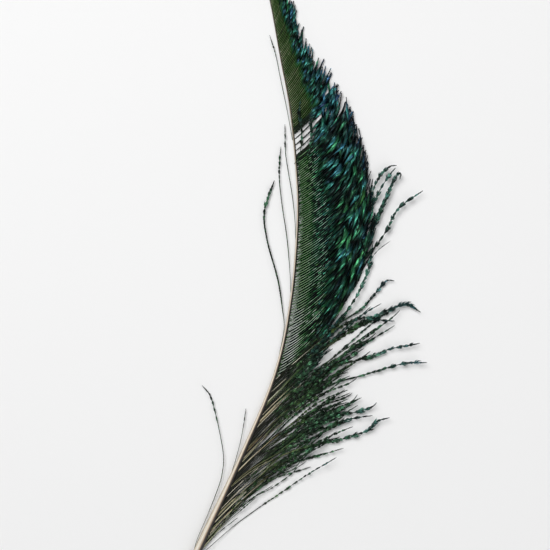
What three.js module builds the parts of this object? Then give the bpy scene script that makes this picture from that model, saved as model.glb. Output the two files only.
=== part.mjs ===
// A peacock sword feather, lying on a flat surface.
// Millimetres, +Z up. +Y runs from the quill to the tip, and the barbs grow towards +X.
// The shaft is one grown piece. The barbs that cling together are thin sheets that reach
// their tips, and each barb that has come loose is a strand of its own.
import * as THREE from "three";

// Driving dimensions, in millimetres and degrees.
// Centre line of the shaft seen from above, from the end of the quill to the tip.
const SHAFT_LINE = [
  [0, 0],
  [17.5, 41.5],
  [36, 81],
  [51.7, 119],
  [59, 153],
  [62, 189],
  [61.2, 214],
  [58.5, 240],
  [54.5, 261],
  [49.5, 288],
  [44, 308],
];

// Radius of the shaft by distance along it: blunt quill end, thick bare quill, fine rachis.
const SHAFT_RADII = [
  { at: 0, radius: 0.8 },
  { at: 3, radius: 1.55 },
  { at: 12, radius: 1.85 },
  { at: 45, radius: 1.85 },
  { at: 88, radius: 1.25 },
  { at: 144, radius: 0.74 },
  { at: 225, radius: 0.45 },
  { at: 322, radius: 0.2 },
];

// How a barb grows, by distance of its root along the shaft: its length, the angle at which
// it leaves the shaft, the angle to the shaft that it has turned to at its end, and how late
// it turns (1 is an even bend).
const BARB_STATIONS = [
  { at: 42, length: 60, leave: 22, end: 34, lateness: 1 },
  { at: 50, length: 78, leave: 23, end: 38, lateness: 1 },
  { at: 60, length: 84, leave: 23, end: 44, lateness: 1.1 },
  { at: 80, length: 86, leave: 24, end: 47, lateness: 1.3 },
  { at: 100, length: 85, leave: 25, end: 43, lateness: 1.3 },
  { at: 114, length: 82, leave: 31, end: 44, lateness: 1.3 },
  { at: 128, length: 74, leave: 38, end: 46, lateness: 1.3 },
  { at: 130, length: 46, leave: 44, end: 10, lateness: 1.4 },
  { at: 136, length: 56, leave: 45, end: 0, lateness: 1.4 },
  { at: 150, length: 59, leave: 48, end: -4, lateness: 1.5 },
  { at: 165, length: 58, leave: 50, end: -4, lateness: 1.5 },
  { at: 190, length: 53, leave: 54, end: -6, lateness: 1.6 },
  { at: 212, length: 49, leave: 56, end: -4, lateness: 1.6 },
  { at: 228, length: 42, leave: 56, end: 2, lateness: 1.5 },
  { at: 240, length: 27, leave: 54, end: 22, lateness: 1.2 },
  { at: 258, length: 22, leave: 52, end: 20, lateness: 1.2 },
  { at: 285, length: 17, leave: 44, end: 14, lateness: 1.2 },
  { at: 308, length: 12, leave: 27, end: 8, lateness: 1.2 },
  { at: 321, length: 6, leave: 10, end: 3, lateness: 1 },
];

const GAP = 0.3; // clearance between a barb or a sheet and the shaft
const SHEET_THICKNESS = 0.6; // barbs that cling together
const SHEET_STEP = 6; // distance between the points of a sheet's outline
const SHEET_EDGE_STEP = 3; // a sheet's end edges take every third point of a barb's line
const WEB_SHEET = { from: 130.5, to: 227 }; // the wide closed part of the vane
const TIP_SHEET = { from: 242, to: 319 }; // the narrow part above the split
const SPLIT_ROOTS = [230.5, 234.5, 238.5]; // the few barbs that cross the split

const LOOSE_FIRST_ROOT = 46; // the lowest loose barb
const LOOSE_SPACING = 2.8;
const LOOSE_COUNT = 30;
const LOOSE_LENGTHS = [1, 0.92, 0.84]; // shares of the full length, taken in turn

const BARB_RADIUS = 0.4; // half the width of a barb with its barbules
const BARB_FLATNESS = 0.8; // a barb's height over its width
const BARB_SETTLE = 0.22; // share of its length in which a barb comes down to the surface
const TIP_LIFT = 1.6; // how far a loose tip curls up
const TIP_CURL_LATENESS = 5; // how near its end a barb starts to curl up
const BARB_END_WIDTH = 0.35; // a barb's width at its ends over its full width
const BARB_FULLEST = 0.8; // below 1, a barb is fullest nearer its root
const BARB_BLUNTNESS = 0.5; // below 1, a barb keeps its width nearer its ends

// Long barbs that lie over the web and hang out past its edge, seen from above, root first.
const LONG_BARB_HEIGHT = SHEET_THICKNESS + GAP;
const LONG_BARBS = [
  [[60.5, 150], [78, 162], [92, 172], [101, 183], [107, 194], [118, 202]],
  [[62, 160], [82, 170], [93, 181], [98.6, 191.3], [103, 202], [108, 210]],
  [[63, 172], [80, 182], [91, 189], [94, 196], [94.6, 202], [95.6, 207.4]],
];

// Barbs of the narrow inner side, which lie almost along the shaft, root first.
const INNER_BARBS = [
  [[13.2, 39], [19.6, 54], [25, 65.4], [28, 75], [28.3, 86], [23.4, 108], [18.9, 114.8]],
  [[29, 70.9], [33.1, 79.7], [35.5, 86.4], [37.4, 95.4], [38.7, 104.4]],
  [[54, 133.2], [55.6, 146.8], [53, 162.3], [48.2, 180], [47, 193], [51.5, 206.8]],
  [[58.4, 159.9], [57.4, 180], [54.6, 198], [53.6, 210], [54.4, 222]],
  [[60.6, 185.9], [59.3, 201.2], [57.7, 210.6], [56.4, 220], [56.2, 232]],
  [[58.8, 228], [56.4, 243], [54.3, 253], [52, 263.3], [49.3, 272]],
];

const SHAFT_SIDES = 10;
const SHAFT_RINGS = 44;
const BARB_SIDES = 5;
const BARB_RINGS = 12;

// Colour, roughness and metalness of each kind of piece.
const LOOKS = {
  shaft: [0xd9c2a0, 0.45, 0],
  web: [0x1f6a4a, 0.4, 0.4],
  tip: [0x3c5a30, 0.4, 0.4],
  looseBarb: [0x1f4a2c, 0.5, 0.3],
  innerBarb: [0x26452c, 0.5, 0.3],
};

const UP = new THREE.Vector3(0, 0, 1);

// A value that changes evenly between the stations of a table.
function between(stations, at, key) {
  const next = stations.findIndex((station) => station.at >= at);
  if (next === 0) return stations[0][key];
  if (next < 0) return stations[stations.length - 1][key];
  const [low, high] = [stations[next - 1], stations[next]];
  const share = (at - low.at) / (high.at - low.at);
  return low[key] + (high[key] - low[key]) * share;
}

function curveThrough(points) {
  const corners = points.map(([x, y]) => new THREE.Vector3(x, y, 0));
  return new THREE.CatmullRomCurve3(corners, false, "catmullrom");
}

const shaftLine = curveThrough(SHAFT_LINE);
const SHAFT_LENGTH = shaftLine.getLength();
const shaftRadius = (at) => between(SHAFT_RADII, at, "radius");

// A closed, tapered body along a path, with a flat strip underneath.
// path(share) gives the middle of the section, and radius(share) its half width.
function grow(path, radius, { sides, rings, flatness = 1 }) {
  const profile = [new THREE.Vector2(0, 1)];
  for (let i = rings; i >= 0; i--) {
    profile.push(new THREE.Vector2(radius(i / rings), i / rings));
  }
  profile.push(new THREE.Vector2(0, 0));
  const geometry = new THREE.LatheGeometry(profile, sides, Math.PI / sides);
  const position = geometry.getAttribute("position");
  const halfRing = 1 / (2 * rings);
  for (let i = 0; i < position.count; i++) {
    const share = position.getY(i);
    const ahead = path(Math.min(share + halfRing, 1));
    const behind = path(Math.max(share - halfRing, 0));
    const across = ahead.sub(behind).setZ(0).normalize().cross(UP);
    const point = path(share);
    point.addScaledVector(across, position.getX(i));
    point.addScaledVector(UP, -position.getZ(i) * flatness);
    position.setXYZ(i, point.x, point.y, point.z);
  }
  return geometry;
}

// The line of a barb that grows from the outer side of the shaft at a distance along it.
function barbLine(at) {
  const [length, leave, end, lateness] = ["length", "leave", "end", "lateness"].map((key) =>
    between(BARB_STATIONS, at, key),
  );
  const share = at / SHAFT_LENGTH;
  const along = shaftLine.getTangentAt(share);
  const heading = Math.atan2(along.y, along.x);
  const start = shaftLine.getPointAt(share);
  start.addScaledVector(along.cross(UP), shaftRadius(at) + GAP);
  const line = [start.clone()];
  const steps = 2 * BARB_RINGS;
  for (let i = 0; i < steps; i++) {
    const bent = ((i + 0.5) / steps) ** lateness;
    const angle = heading - THREE.MathUtils.degToRad(leave + (end - leave) * bent);
    start.x += (length / steps) * Math.cos(angle);
    start.y += (length / steps) * Math.sin(angle);
    line.push(start.clone());
  }
  return line;
}

// One barb as a body: it leaves the side of the shaft, comes down and curls up at its tip.
function barbBody(curve, rootHeight, { height = 0, kept = 1 } = {}) {
  const rest = BARB_RADIUS * BARB_FLATNESS * Math.cos(Math.PI / BARB_SIDES);
  const low = rest + height;
  const high = Math.max(low, rootHeight);
  const path = (share) => {
    const point = curve.getPointAt(share * kept);
    const settled = THREE.MathUtils.smoothstep(share, 0, BARB_SETTLE);
    point.z = high + (low - high) * settled + TIP_LIFT * share ** TIP_CURL_LATENESS;
    return point;
  };
  const radius = (share) => {
    const fullness = Math.sin(Math.PI * share ** BARB_FULLEST) ** BARB_BLUNTNESS;
    return BARB_RADIUS * (BARB_END_WIDTH + (1 - BARB_END_WIDTH) * fullness);
  };
  return grow(path, radius, { sides: BARB_SIDES, rings: BARB_RINGS, flatness: BARB_FLATNESS });
}

function outerBarb(at, options) {
  return barbBody(new THREE.CatmullRomCurve3(barbLine(at)), shaftRadius(at), options);
}

// A sheet of barbs that cling together: along the shaft, then out along the last barb,
// back over the tips and in along the first barb.
function sheetBody({ from, to }) {
  const roots = [];
  const tips = [];
  const count = Math.round((to - from) / SHEET_STEP);
  for (let i = 0; i <= count; i++) {
    const line = barbLine(from + ((to - from) * i) / count);
    roots.push(line[0]);
    tips.unshift(line[line.length - 1]);
  }
  const middle = (at) => {
    const points = barbLine(at).filter((_, i) => i % SHEET_EDGE_STEP === 0);
    return points.slice(1, -1);
  };
  const outline = [...roots, ...middle(to), ...tips, ...middle(from).reverse()];
  const shape = new THREE.Shape(outline.map(({ x, y }) => new THREE.Vector2(x, y)));
  return new THREE.ExtrudeGeometry(shape, { depth: SHEET_THICKNESS, bevelEnabled: false });
}

const feather = new THREE.Group();

function addPiece(name, geometry, [color, roughness, metalness]) {
  const material = new THREE.MeshStandardMaterial({ color, roughness, metalness });
  const mesh = new THREE.Mesh(geometry, material);
  mesh.name = name;
  feather.add(mesh);
}

const numbered = (name, i) => name + "_" + String(i + 1).padStart(2, "0");

// Shaft: the bare quill and the rachis that carries the barbs, one piece.
const shaftBottom = Math.cos(Math.PI / SHAFT_SIDES);
const shaftBody = grow(
  (share) => shaftLine.getPointAt(share).setZ(shaftRadius(share * SHAFT_LENGTH) * shaftBottom),
  (share) => shaftRadius(share * SHAFT_LENGTH),
  { sides: SHAFT_SIDES, rings: SHAFT_RINGS },
);
addPiece("shaft", shaftBody, LOOKS.shaft);

addPiece("web_vane", sheetBody(WEB_SHEET), LOOKS.web);
addPiece("tip_vane", sheetBody(TIP_SHEET), LOOKS.tip);

SPLIT_ROOTS.forEach((at, i) => {
  addPiece(numbered("split_barb", i), outerBarb(at), LOOKS.looseBarb);
});

for (let i = 0; i < LOOSE_COUNT; i++) {
  const kept = LOOSE_LENGTHS[i % LOOSE_LENGTHS.length];
  const body = outerBarb(LOOSE_FIRST_ROOT + LOOSE_SPACING * i, { kept });
  addPiece(numbered("loose_barb", i), body, LOOKS.looseBarb);
}

LONG_BARBS.forEach((points, i) => {
  const body = barbBody(curveThrough(points), 0, { height: LONG_BARB_HEIGHT });
  addPiece(numbered("long_barb", i), body, LOOKS.looseBarb);
});

INNER_BARBS.forEach((points, i) => {
  const body = barbBody(curveThrough(points), BARB_RADIUS);
  addPiece(numbered("inner_barb", i), body, LOOKS.innerBarb);
});

// The frame: origin under the middle of the whole feather, on the surface it lies on.
const box = new THREE.Box3().setFromObject(feather);
const middle = box.getCenter(new THREE.Vector3());
feather.children.forEach((mesh) => {
  mesh.position.set(-middle.x, -middle.y, -box.min.z);
});

export default feather;
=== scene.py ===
"""A peacock sword feather: a curved shaft, a one-sided web, and long loose barbs with beaded ends."""

import bpy
import numpy as np
from bpy.props import FloatProperty, FloatVectorProperty, PointerProperty
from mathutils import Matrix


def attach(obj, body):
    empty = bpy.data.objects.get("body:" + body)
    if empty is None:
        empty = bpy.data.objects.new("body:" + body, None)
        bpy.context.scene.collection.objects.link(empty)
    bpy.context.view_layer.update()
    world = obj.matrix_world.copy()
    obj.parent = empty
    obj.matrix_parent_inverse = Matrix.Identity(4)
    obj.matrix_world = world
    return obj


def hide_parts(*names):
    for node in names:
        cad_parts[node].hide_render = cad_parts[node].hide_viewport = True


bl_info = {
    "name": "Sword feather",
    "version": (1, 0, 0),
    "blender": (4, 5, 0),
    "location": "View3D > Sidebar > Feather",
    "description": "Builds a sword feather barb by barb around its CAD frame",
    "category": "Add Mesh",
}

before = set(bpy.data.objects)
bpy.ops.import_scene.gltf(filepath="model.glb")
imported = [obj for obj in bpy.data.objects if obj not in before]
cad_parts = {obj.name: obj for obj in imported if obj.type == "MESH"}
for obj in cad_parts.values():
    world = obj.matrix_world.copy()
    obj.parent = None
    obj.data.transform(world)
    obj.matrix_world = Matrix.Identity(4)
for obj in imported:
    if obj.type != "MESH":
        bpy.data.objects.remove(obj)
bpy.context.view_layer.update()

# Lengths here are millimetres from the quill end, and angles are degrees. build() turns them
# to metres in the frame, whose origin is under the middle of the feather.
MM = 0.001
ORIGIN = (58.668, 156.13, 0.0)

SHAFT_LINE = (
    (0, 0), (17.5, 41.5), (36, 81), (51.7, 119), (59, 153), (62, 189),
    (61.2, 214), (58.5, 240), (54.5, 261), (49.5, 288), (44, 308),
)
SHAFT_RADII = (
    (0, 0.8), (3, 1.55), (12, 1.85), (45, 1.85), (88, 1.25), (144, 0.74), (225, 0.45), (322, 0.2),
)

# Distance of a barb's root along the shaft: its length, the angle at which it leaves, the angle
# to the shaft that it has turned to at its end, and how late it turns.
BARB_STATIONS = (
    (42, 60, 16, 31, 0.9), (50, 80, 16, 36, 0.9), (60, 86, 17, 40, 0.9), (80, 86, 18, 42, 1.0),
    (100, 86, 19, 36, 1.1), (114, 84, 21, 34, 1.3), (128, 80, 26, 33, 1.4),
    (130, 80, 54, 0, 0.45), (136, 77, 54, 1, 0.47), (150, 71, 60, 0, 0.58),
    (165, 65, 62, 0, 0.72), (190, 57, 62, -4, 1.0), (212, 56, 61, -6, 1.15),
    (228, 52, 58, 2, 1.2), (240, 32, 54, 18, 1.2), (258, 22, 52, 20, 1.2),
    (285, 17, 44, 14, 1.2), (308, 12, 27, 8, 1.2), (321, 6, 10, 3, 1.0),
)

# Distance of a barb's root along the shaft, and the spacing there as a share of the setting.
BARB_CROWDING = (
    (128, 1.22), (150, 1.22), (158, 1.18), (172, 1.04), (185, 0.99), (197, 0.94), (207, 0.86),
    (322, 0.84),
)
WEB_ROOTS = (129.6, 228.2)
CROWDED = 142.0  # the web's barbs lie two deep up to here
TIP_ROOTS = (240.5, 320.5)
LOOSE_ROOTS = (43.5, 129.0)
# Where the barbs of the split grow, and how far each turns outward (or, negative, up), in degrees.
SPLIT_BARBS = (
    (227.0, -4), (227.7, -12), (228.3, -7), (228.8, -20), (229.3, -28), (229.8, -14), (231.8, -6),
    (234.4, 8), (237.0, -4), (239.2, 16), (239.8, 7), (240.3, 22), (240.8, 12), (241.4, 18),
)
# Loose strands that lie up the split, seen from above.
SPLIT_STRANDS = (
    ((60.4, 214), (62.4, 217.5), (63.6, 223), (63.6, 230), (62.6, 237), (63.2, 243)),
    ((62, 212), (65.8, 217), (67.4, 222), (68.2, 228), (67.6, 234), (68.6, 240)),
)

# Barbs that lie under the web and hang out past its edge, and barbs of the narrow inner side,
# seen from above, root first.
LONG_BARBS = (
    ((60.5, 150), (78, 162), (92, 172), (101, 183), (107, 194), (118, 202)),
    ((61, 152), (80, 164), (90, 176), (93, 187), (95.5, 195.5), (99, 202.5), (102.4, 208.2),
     (105.8, 212.3)),
    ((62, 160), (82, 170), (93, 181), (98.6, 191.3), (103, 202), (106, 208.6), (108, 210),
     (107.6, 207)),
    ((62.6, 168), (82, 179.5), (92, 187), (94.3, 196), (96.4, 204), (99.6, 209.8), (103.5, 212.9),
     (106.2, 213.3)),
    ((63, 172), (80, 182), (91, 189), (94, 196), (94.6, 202), (95.6, 207.4)),
    ((63, 174), (80, 182), (91, 186), (97.2, 190.5), (101.3, 198.9), (104.3, 206.2)),
    ((60, 146), (76, 158), (88, 165), (94, 170.6), (98, 175.4), (103.5, 179.6)),
    ((54, 122), (66, 128), (76, 137), (84, 148), (90.4, 158.6), (94, 168), (95.6, 178)),
)
INNER_BARBS = (
    ((13.9, 35), (16.6, 45), (20.4, 54), (25, 65.4), (28, 75), (28.3, 86), (23.4, 108), (18.9, 114.8)),
    ((28.4, 66), (32.4, 76), (35.5, 86.4), (37.4, 95.4), (38.7, 104.4)),
    ((53.6, 128), (55.8, 140), (55.2, 148), (53, 162.3), (48.2, 180), (47, 193), (51.5, 206.8)),
    ((59, 151), (58.6, 163), (57.2, 180), (54.6, 198), (53.6, 210), (54.4, 222)),
    ((61.2, 178), (60.6, 190), (59.3, 201.2), (57.7, 210.6), (56.4, 220), (56.2, 232)),
    ((59.6, 225), (57.6, 236), (56, 244), (54.1, 253), (52, 263.3), (49.3, 272)),
)
INNER_FULLNESS = (0.62, 0.4, 1.5, 0.8, 0.62, 0.5)

# Ends of single loose barbs that stand clear of the rest, seen from above, root first.
LOOSE_ENDS = (
    ((51.4, 119), (63, 130), (78, 141), (90.5, 149), (97.6, 157), (101.7, 161.6), (105.3, 161.6)),
    ((49, 112), (64, 124), (84, 139), (103.5, 149), (111.6, 151.6)),
    ((50.4, 116), (64, 128), (78, 139), (90, 144.9), (99, 144), (105.3, 143.6)),
    ((48, 110), (62, 122), (82, 136.5), (99, 145.8), (109.8, 151.2), (117, 147.6)),
    ((42.4, 96), (56, 109), (74, 121.5), (95.4, 127.8), (103.5, 131), (116.6, 133.7)),
    ((40, 90), (54, 103), (76, 114.6), (91.4, 119.3), (103.5, 122.9), (109.8, 124.7), (119.7, 125.1)),
    ((34.4, 77), (48, 89), (66, 98), (79.2, 101), (90, 103.2), (95.4, 105.3), (97.2, 107.1)),
    ((32.2, 72), (46, 84), (62, 91), (76.5, 96.5), (86.4, 99.8), (95.4, 101.3)),
    ((30.4, 68), (44, 78), (62, 86), (83.3, 91), (93.2, 94.6), (97.2, 98.6), (103.1, 100.4)),
    ((15.4, 36), (34, 52), (55.4, 67.1), (65.7, 74.3), (79.2, 82.8)),
)

# Outlines of the web and of the mass of loose barbs, seen from above.
WEB_OUTLINE = (
    (63, 114.8), (71.1, 126.4), (78.8, 139.5), (82.4, 148.5), (86.4, 157.5), (92.2, 166.5),
    (95.4, 175.5), (95.8, 184.5), (95, 198), (92.7, 213.8), (89.1, 227.2), (83.7, 240.8),
    (79.6, 249.8), (74.2, 254.2), (40, 254), (40, 108),
)
LOOSE_OUTLINE = (
    (12.6, 37.8), (24.8, 46.4), (40.5, 56.2), (55.4, 65.7), (65.7, 72.9), (78.3, 81.4), (84.6, 88.2),
    (89.1, 95.4), (92.7, 102.6), (95.4, 107.1), (90, 110.7), (86.4, 113.4), (90, 119.7),
    (95.4, 125.1), (102.6, 131.4), (108, 137.7), (111.6, 144.9), (111.6, 151.6), (101.2, 152.1),
    (90, 146.9), (81, 139.7), (71.1, 130), (58.5, 124.2), (40, 124), (0, 40),
)

PER_SPAN = 40  # places on a drawn line between two of its given points
POINTS = 61  # along each barb
SHARE = np.linspace(0, 1, POINTS)[None]  # of a barb's length, at each of its points
RAMUS_SIDES = 3
SHAFT_SIDES = 24
SHAFT_RING_STEP = 0.3
QUILL_BORE = ((2.4, 0.3), (1.2, 0.4), (0.3, 0.46), (0.05, 0.54), (0.0, 0.66))  # depth, radius
RACHIS_FROM = (36, 60)  # over this length the round quill turns into the grooved rachis
SWELLING_PITCH = 1.08  # of the small swellings where the barbs grow
FLAKES = 24  # different half turns that one twisted barb can show
BEADS = 90  # different beads that one loose barb can have
# Specks are painted glints along a loose barb.
SPECKS = 400  # different glints that one loose barb can have
SPECK_LENGTH = 0.6
DASH_SPACING = 1.7
# The dark barbules below and the barbs below the rest are painted shade seen in the gaps of the web.
UNDER_SPACING = 0.5  # of the dark barbules below
WEB_FILLERS = (12, 40)  # barbs below the rest: at its crowded lower end, and all along it
LOOSE_CROWDING = 0.58  # of the web's spacing
LONG_FULLNESS = (1.4, 1.5, 1.6, 1.5, 1.5, 1.5, 0.3, 1.6, 1.2, 1.1)
STRAND_HEIGHT = 1.5  # of the strands that lie up the split
LOWEST = 0.04  # gap between any barbule and the floor
UP = np.array((0.0, 0.0, 1.0))


def colour(code):
    """An sRGB hex colour, such as "1f9a6a", as the linear values that a shader works with."""
    parts = [int(code[i : i + 2], 16) / 255 for i in (0, 2, 4)]
    return [c / 12.92 if c <= 0.04045 else ((c + 0.055) / 1.055) ** 2.4 for c in parts] + [1.0]


# Lines --------------------


def curve_through(points):
    """A smooth line through points, as an array with a row for each place on it."""
    p = np.asarray(points, float)
    p = np.vstack([2 * p[0] - p[1], p, 2 * p[-1] - p[-2]])
    t = np.linspace(0, 1, PER_SPAN, endpoint=False)[:, None]
    spans = []
    for before, start, end, after in zip(p, p[1:], p[2:], p[3:]):
        leave, arrive = (end - before) / 2, (after - start) / 2
        spans.append(
            (2 * t**3 - 3 * t**2 + 1) * start
            + (t**3 - 2 * t**2 + t) * leave
            + (3 * t**2 - 2 * t**3) * end
            + (t**3 - t**2) * arrive
        )
    return np.vstack(spans + [p[-2][None]])


def travelled(line):
    """Distance along a line at each of its points."""
    return np.r_[0, np.cumsum(np.linalg.norm(np.diff(line, axis=0), axis=1))]


def even(line):
    """The same line with a barb's number of points, at equal distances."""
    way = travelled(line)
    spots = np.linspace(0, way[-1], POINTS)
    return np.stack([np.interp(spots, way, line[:, k]) for k in (0, 1)], 1)


def drawn(lines):
    """Flat barbs along lines that are given by a few points each."""
    return np.stack([even(curve_through(points)) for points in lines])


def lifted(flat, height):
    """Flat barbs, raised to a height at each of their points."""
    return np.dstack([flat, np.broadcast_to(height, flat.shape[:2])])


SHAFT = curve_through(SHAFT_LINE)
SHAFT_WAY = travelled(SHAFT)
SHAFT_LENGTH = SHAFT_WAY[-1]


def on_shaft(at):
    """x, y and heading of the shaft's centre line at distances along it."""
    slope = np.gradient(SHAFT, SHAFT_WAY, axis=0)
    x, y = (np.interp(at, SHAFT_WAY, SHAFT[:, k]) for k in (0, 1))
    return x, y, np.interp(at, SHAFT_WAY, np.arctan2(slope[:, 1], slope[:, 0]))


def shaft_radius(at):
    return np.interp(at, *zip(*SHAFT_RADII))


def station(at, column):
    table = np.array(BARB_STATIONS, float)
    return np.interp(at, table[:, 0], table[:, column])


def smooth(x, low, high):
    """0 below low, 1 above high, and an even turn between them."""
    t = np.clip((x - low) / (high - low), 0, 1)
    return t * t * (3 - 2 * t)


def roots_between(start, stop, settings):
    """Distances along the shaft of barb roots, which lie closer together towards the tip."""
    way = np.linspace(start, stop, 200)
    gap = settings.barb_spacing / MM * np.interp(way, *zip(*BARB_CROWDING))
    passed = np.r_[0, np.cumsum(np.diff(way) / gap[1:])]
    return np.interp(np.arange(passed[-1]), passed, way)


def clearance(paths):
    """Distance of each point of each barb from the shaft's centre line, seen from above."""
    flat = paths[..., :2].reshape(-1, 1, 2)
    near = SHAFT[::3][None]
    return np.sqrt(((flat - near) ** 2).sum(2)).min(1).reshape(paths.shape[:2])


def depth_inside(paths, outline):
    """Distance of each point of each barb from a closed outline, negative outside it."""
    start = np.asarray(outline, float)
    edge = np.roll(start, -1, axis=0) - start
    flat = paths[..., None, :2]
    share = np.clip(((flat - start) * edge).sum(-1) / (edge**2).sum(-1), 0, 1)
    gap = np.linalg.norm(flat - start - share[..., None] * edge, axis=-1).min(-1)
    rise = flat[..., 1] - start[:, 1]
    spans = (rise < 0) != (rise < edge[:, 1])
    reached = start[:, 0] + rise * edge[:, 0] / np.where(edge[:, 1] == 0, 1, edge[:, 1])
    inside = (spans & (flat[..., 0] < reached)).sum(-1) % 2
    return np.where(inside, gap, -gap)


def read(field, barb, spot):
    """A field of values along the barbs, read at spots between its points."""
    i = np.minimum(spot.astype(int), POINTS - 2)
    f = spot - i
    if field.ndim == 3:
        f = f[..., None]
    return field[barb, i] * (1 - f) + field[barb, i + 1] * f


def trimmed(paths, outline, slack):
    """The barbs, cut where they have passed an outline by slack, which holds a value a barb."""
    past = depth_inside(paths, outline) < -slack[:, None]
    past[:, : POINTS // 2] = False
    last = np.where(past.any(1), past.argmax(1), POINTS - 1)
    return read(paths, np.arange(len(paths))[:, None], SHARE * last[:, None])


def drift(rng, at, every, along):
    """Smooth random values that neighbouring barbs share: a row a barb, a column a point."""
    rows = (at - at.min()) / every
    columns = np.linspace(0, along, POINTS)
    grid = rng.normal(size=(int(rows.max()) + 2, along + 2))
    r, c = rows.astype(int), columns.astype(int)
    rf, cf = smooth(rows - r, 0, 1)[:, None], smooth(columns - c, 0, 1)[None]
    low = grid[r][:, c] * (1 - cf) + grid[r][:, c + 1] * cf
    high = grid[r + 1][:, c] * (1 - cf) + grid[r + 1][:, c + 1] * cf
    return low * (1 - rf) + high * rf


def grow_barbs(at, kept, sway):
    """Barbs from the outer side of the shaft, flat, as an array (barbs, POINTS, 3).
    kept is the share of its full length that each has, and sway turns it, in degrees."""
    x, y, heading = on_shaft(at)
    share = (np.arange(POINTS - 1) + 0.5) / (POINTS - 1)
    leave, end = station(at, 2)[:, None], station(at, 3)[:, None]
    bent = share[None] ** station(at, 4)[:, None]
    turned = (sway[:, 1:] + sway[:, :-1]) / 2
    angle = heading[:, None] - np.radians(leave + (end - leave) * bent + turned)
    step = (station(at, 1) * kept / (POINTS - 1))[:, None]
    inside = 0.6 * shaft_radius(at)
    paths = np.zeros((len(at), POINTS, 3))
    paths[:, 0, 0] = x + np.sin(heading) * inside
    paths[:, 0, 1] = y - np.cos(heading) * inside
    paths[:, 1:, 0] = paths[:, :1, 0] + np.cumsum(step * np.cos(angle), 1)
    paths[:, 1:, 1] = paths[:, :1, 1] + np.cumsum(step * np.sin(angle), 1)
    return paths


def frames_of(paths):
    """Unit vectors along, to the right of and above each point of each barb."""
    along = np.gradient(paths, axis=1)
    along /= np.linalg.norm(along, axis=2, keepdims=True)
    right = np.cross(along, UP)
    right /= np.linalg.norm(right, axis=2, keepdims=True)
    return along, right, np.cross(right, along)


# Meshes --------------------


def tubes(count, rings, sides):
    """Numbers of the points of some tubes, and the faces around them and at their ends."""
    number = np.arange(count * rings * sides).reshape(count, rings, sides)
    after = np.roll(number, -1, axis=2)
    around = np.stack([number[:, :-1], after[:, :-1], after[:, 1:], number[:, 1:]], -1)
    ends = np.concatenate([number[:, :1, ::-1], number[:, -1:]], 1)
    return number, [around.reshape(-1, 4), ends.reshape(-1, sides)]


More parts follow.
